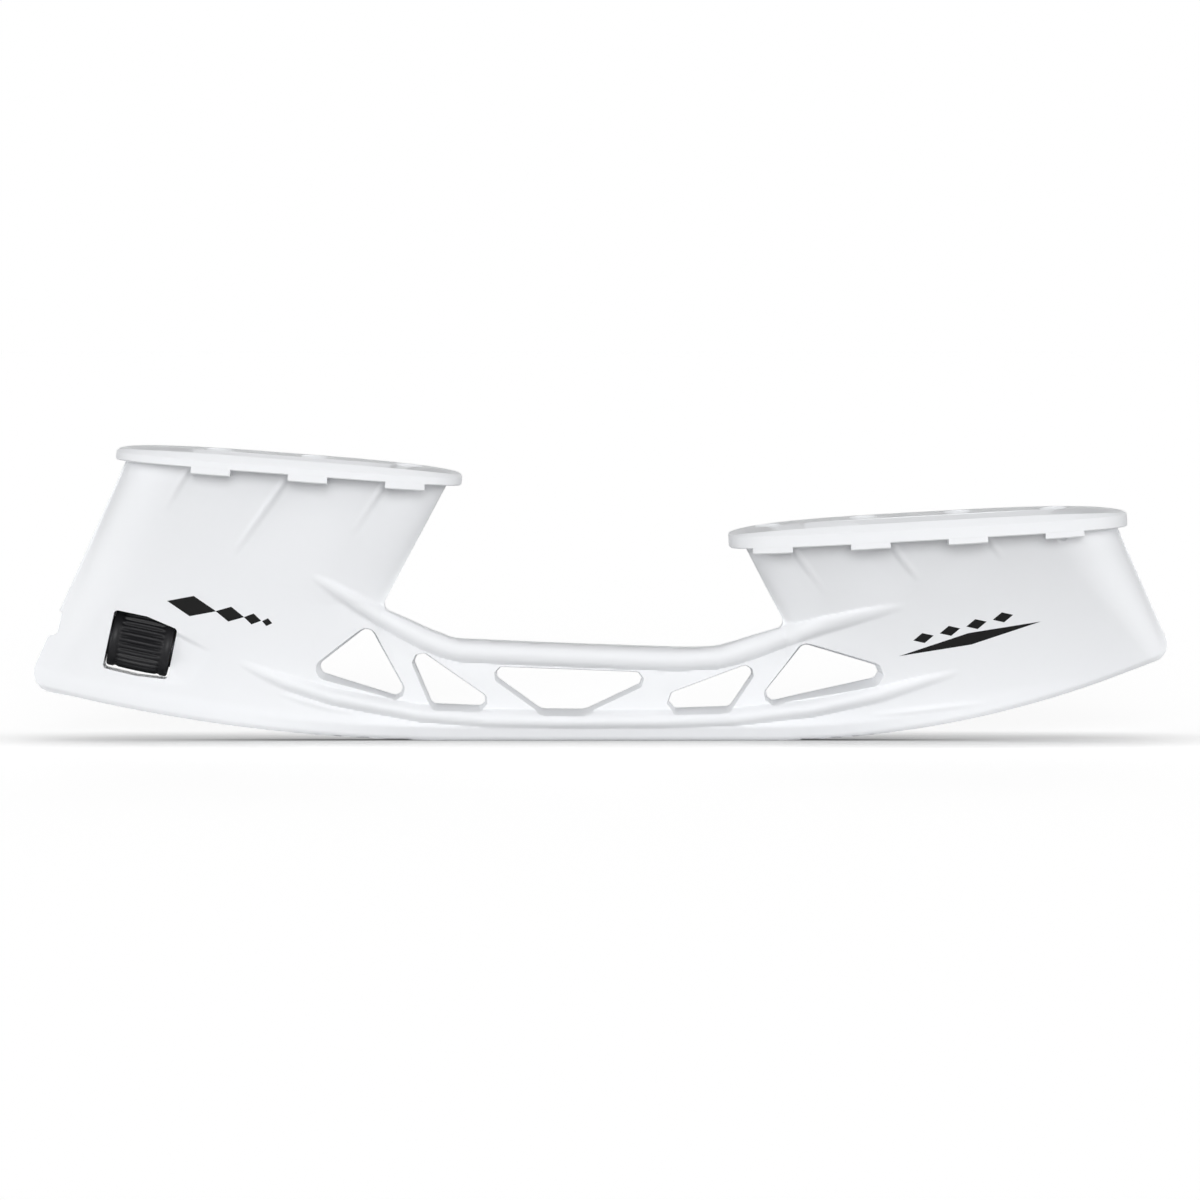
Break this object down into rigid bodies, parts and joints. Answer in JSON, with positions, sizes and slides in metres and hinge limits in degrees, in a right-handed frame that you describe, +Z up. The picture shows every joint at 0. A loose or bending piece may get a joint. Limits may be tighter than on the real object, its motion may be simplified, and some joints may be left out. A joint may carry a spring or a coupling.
{
  "type": "skate blade holder",
  "caption": "White moulded ice-skate blade holder with heel and toe posts, a truss bridge, a runner slot and a thumb wheel that draws the lock hook.",
  "frame": {"origin": "on the ground under the middle of the holder", "axes": "+X from heel to toe, +Y across to the far side of the picture, +Z up"},
  "size_m": [0.2804, 0.069, 0.0729],
  "materials": {
    "holder_white": "satin moulded nylon",
    "wheel_black": "matt moulded",
    "brass": "turned",
    "steel": "turned and stamped",
    "spring_steel": "blued",
    "bush_plastic": "moulded acetal",
    "plug_white": "moulded",
    "seal_rubber": "matt"
  },
  "bodies": {
    "holder": {"holder_body": "holder_white", "front_thrust_washer": "steel", "rear_thrust_washer": "steel", "disc_spring": "spring_steel", "front_bush": "bush_plastic", "rear_bush": "bush_plastic", "rear_plug": "plug_white", "plug_seal": "seal_rubber"},
    "wheel": {"thumb_wheel": "wheel_black", "drive_nut": "brass"},
    "hook": {"hook_stem": "steel", "lock_hook": "steel", "hook_pin": "steel", "stem_clip": "spring_steel"}
  },
  "joints": [
    {"name": "wheel_turn", "type": "hinge", "parent": "holder", "child": "wheel", "pos_m": [-0.1137, 0, 0.0244], "axis": [0.9781, 0, -0.2079], "range_deg": [0, 240]},
    {"name": "hook_draw", "type": "slide", "parent": "holder", "child": "hook", "axis": [-0.9781, 0, 0.2079], "range_m": [0, 0.004]}
  ],
  "couplings": [
    {"joint": "hook_draw", "follows": "wheel_turn", "m_per_rad": 0.00095493}
  ]
}
